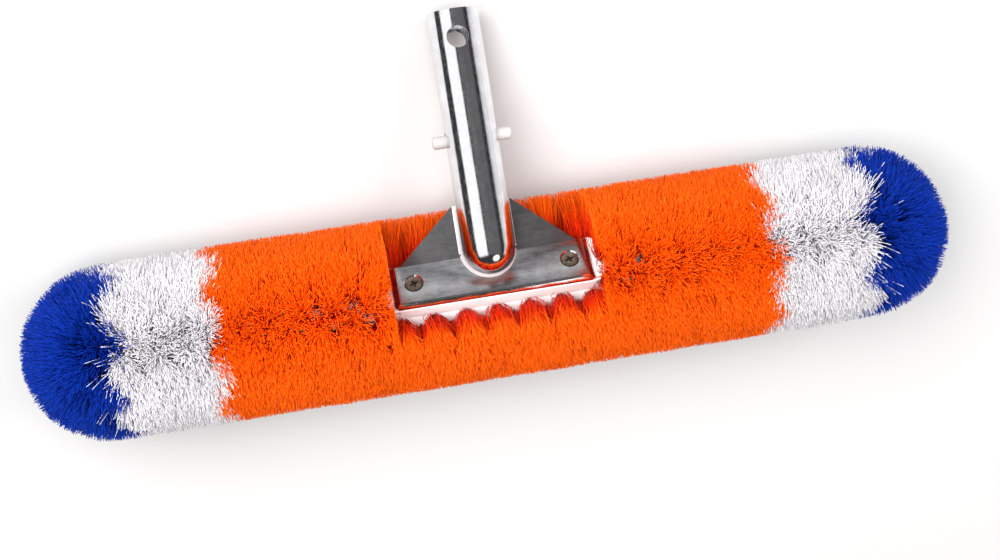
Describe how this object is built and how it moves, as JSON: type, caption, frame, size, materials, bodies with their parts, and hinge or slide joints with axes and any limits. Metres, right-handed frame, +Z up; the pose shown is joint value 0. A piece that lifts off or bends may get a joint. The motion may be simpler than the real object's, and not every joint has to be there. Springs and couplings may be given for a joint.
{
  "type": "pool wall brush head",
  "caption": "Round-ended pool wall brush head with orange, white and blue bristle tufts all round a moulded bar, and a cast socket handle with two snap buttons for a pole.",
  "frame": {"origin": "centre of the bounding box's bottom face, on the floor the brush rests on", "axes": "+X along the bar, +Y the way the socket tube points, +Z up; the brush lies on its bristles and on the rim of the tube's open end"},
  "size_m": [0.4572, 0.1806, 0.086],
  "materials": {
    "bar_plastic": "moulded white plastic",
    "polished_casting": "polished tube, brushed plate",
    "screw_steel": "dull plated",
    "clip_plastic": "natural, slightly cloudy",
    "orange_bristle": "fine bristle",
    "white_bristle": "fine bristle",
    "blue_bristle": "fine bristle"
  },
  "bodies": {
    "brush_and_handle": {"brush_bar": "bar_plastic", "socket_handle": "polished_casting", "handle_screws": "screw_steel", "clip_bend": "clip_plastic", "orange_row_01": "orange_bristle", "orange_row_02": "orange_bristle", "orange_row_03": "orange_bristle", "orange_row_04": "orange_bristle", "orange_row_05": "orange_bristle", "orange_row_06": "orange_bristle", "orange_row_07": "orange_bristle", "orange_row_08": "orange_bristle", "orange_row_09": "orange_bristle", "orange_row_10": "orange_bristle", "orange_row_11": "orange_bristle", "orange_row_12": "orange_bristle", "orange_row_13": "orange_bristle", "orange_row_14": "orange_bristle", "orange_row_15": "orange_bristle", "orange_row_16": "orange_bristle", "white_ring_left_1": "white_bristle", "white_ring_left_2": "white_bristle", "white_ring_left_3": "white_bristle", "white_ring_left_4": "white_bristle", "white_ring_left_5": "white_bristle", "white_ring_left_6": "white_bristle", "white_ring_right_1": "white_bristle", "white_ring_right_2": "white_bristle", "white_ring_right_3": "white_bristle", "white_ring_right_4": "white_bristle", "white_ring_right_5": "white_bristle", "white_ring_right_6": "white_bristle", "blue_ring_left_1": "blue_bristle", "blue_ring_left_2": "blue_bristle", "blue_ring_left_3": "blue_bristle", "blue_ring_left_4": "blue_bristle", "blue_ring_right_1": "blue_bristle", "blue_ring_right_2": "blue_bristle", "blue_ring_right_3": "blue_bristle", "blue_ring_right_4": "blue_bristle"},
    "button_arm_left": {"snap_button_left": "clip_plastic"},
    "button_arm_right": {"snap_button_right": "clip_plastic"}
  },
  "joints": [
    {"name": "press_left_button", "type": "hinge", "parent": "brush_and_handle", "child": "button_arm_left", "pos_m": [-0.00835, -0.00458, 0.04758], "axis": [0, -0.3688, -0.9295], "range_deg": [0, 10], "stiffness_Nm_per_rad": 1.5, "springref_deg": -3.44},
    {"name": "press_right_button", "type": "hinge", "parent": "brush_and_handle", "child": "button_arm_right", "pos_m": [0.00835, -0.00458, 0.04758], "axis": [0, 0.3688, 0.9295], "range_deg": [0, 10], "stiffness_Nm_per_rad": 1.5, "springref_deg": -3.44}
  ]
}
